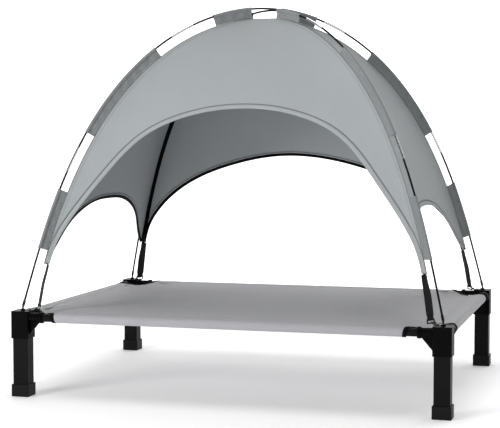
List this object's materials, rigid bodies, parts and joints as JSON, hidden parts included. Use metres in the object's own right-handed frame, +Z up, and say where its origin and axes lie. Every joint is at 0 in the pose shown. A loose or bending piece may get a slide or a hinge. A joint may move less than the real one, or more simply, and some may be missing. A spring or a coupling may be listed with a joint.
{
  "type": "dog bed with canopy",
  "caption": "Raised dog bed: a fabric sling on a tube frame with four square legs, under a removable vaulted canopy on two crossing bent poles.",
  "frame": {"origin": "on the floor under the middle of the bed", "axes": "+X to the dog bed's right along its long side, +Y to the back, +Z up; the front is the side with the tallest arch"},
  "size_m": [1.2192, 0.9144, 1.0938],
  "materials": {
    "powder_coated_steel": "fine satin black powder coat",
    "moulded_plastic": "fine-grained black moulding",
    "sling_fabric": "close plain-weave grey coated polyester",
    "canopy_fabric": "fine plain-weave grey polyester, thin coating inside",
    "black_webbing": "black woven tape and webbing",
    "fibreglass": "smooth black fibreglass rod",
    "bright_steel": "bright plated steel",
    "black_ring": "black coated wire",
    "elastic_cord": "braided elastic cord"
  },
  "bodies": {
    "bed": {"leg_tube_front_left": "powder_coated_steel", "foot_cap_front_left": "moulded_plastic", "corner_bracket_front_left": "moulded_plastic", "sling_binding_front_left": "black_webbing", "strap_hook_front_left": "bright_steel", "leg_tube_front_right": "powder_coated_steel", "foot_cap_front_right": "moulded_plastic", "corner_bracket_front_right": "moulded_plastic", "sling_binding_front_right": "black_webbing", "strap_hook_front_right": "bright_steel", "leg_tube_back_left": "powder_coated_steel", "foot_cap_back_left": "moulded_plastic", "corner_bracket_back_left": "moulded_plastic", "sling_binding_back_left": "black_webbing", "strap_hook_back_left": "bright_steel", "leg_tube_back_right": "powder_coated_steel", "foot_cap_back_right": "moulded_plastic", "corner_bracket_back_right": "moulded_plastic", "sling_binding_back_right": "black_webbing", "strap_hook_back_right": "bright_steel", "frame_tube_front": "powder_coated_steel", "frame_tube_back": "powder_coated_steel", "frame_tube_left": "powder_coated_steel", "frame_tube_right": "powder_coated_steel", "bed_sling": "sling_fabric", "hook_screws": "bright_steel"},
    "canopy": {"upper_pole_rods": "fibreglass", "upper_pole_ferrules": "bright_steel", "upper_pole_tips": "powder_coated_steel", "upper_pole_shock_cord": "elastic_cord", "lower_pole_rods": "fibreglass", "lower_pole_ferrules": "bright_steel", "lower_pole_tips": "powder_coated_steel", "lower_pole_shock_cord": "elastic_cord", "canopy_panel_front": "canopy_fabric", "arch_binding_front": "black_webbing", "canopy_panel_back": "canopy_fabric", "arch_binding_back": "black_webbing", "canopy_panel_left": "canopy_fabric", "arch_binding_left": "black_webbing", "canopy_panel_right": "canopy_fabric", "arch_binding_right": "black_webbing", "seam_tape_front_left": "black_webbing", "pole_sleeves_front_left": "canopy_fabric", "seam_tape_front_right": "black_webbing", "pole_sleeves_front_right": "canopy_fabric", "seam_tape_back_left": "black_webbing", "pole_sleeves_back_left": "canopy_fabric", "seam_tape_back_right": "black_webbing", "pole_sleeves_back_right": "canopy_fabric"},
    "strap_front_left": {"corner_strap_front_left": "black_webbing", "strap_ring_front_left": "black_ring"},
    "strap_front_right": {"corner_strap_front_right": "black_webbing", "strap_ring_front_right": "black_ring"},
    "strap_back_left": {"corner_strap_back_left": "black_webbing", "strap_ring_back_left": "black_ring"},
    "strap_back_right": {"corner_strap_back_right": "black_webbing", "strap_ring_back_right": "black_ring"}
  },
  "joints": [
    {"name": "canopy_lift", "type": "slide", "parent": "bed", "child": "canopy", "axis": [0, 0, 1], "range_m": [0, 0.12]},
    {"name": "strap_swing_front_left", "type": "hinge", "parent": "canopy", "child": "strap_front_left", "pos_m": [-0.52996, -0.39169, 0.362], "axis": [0.5944, -0.8042, 0], "range_deg": [0, 60]},
    {"name": "strap_swing_front_right", "type": "hinge", "parent": "canopy", "child": "strap_front_right", "pos_m": [0.52996, -0.39169, 0.362], "axis": [0.5944, 0.8042, 0], "range_deg": [0, 60]},
    {"name": "strap_swing_back_left", "type": "hinge", "parent": "canopy", "child": "strap_back_left", "pos_m": [-0.52996, 0.39169, 0.362], "axis": [-0.5944, -0.8042, 0], "range_deg": [0, 60]},
    {"name": "strap_swing_back_right", "type": "hinge", "parent": "canopy", "child": "strap_back_right", "pos_m": [0.52996, 0.39169, 0.362], "axis": [-0.5944, 0.8042, 0], "range_deg": [0, 60]}
  ]
}
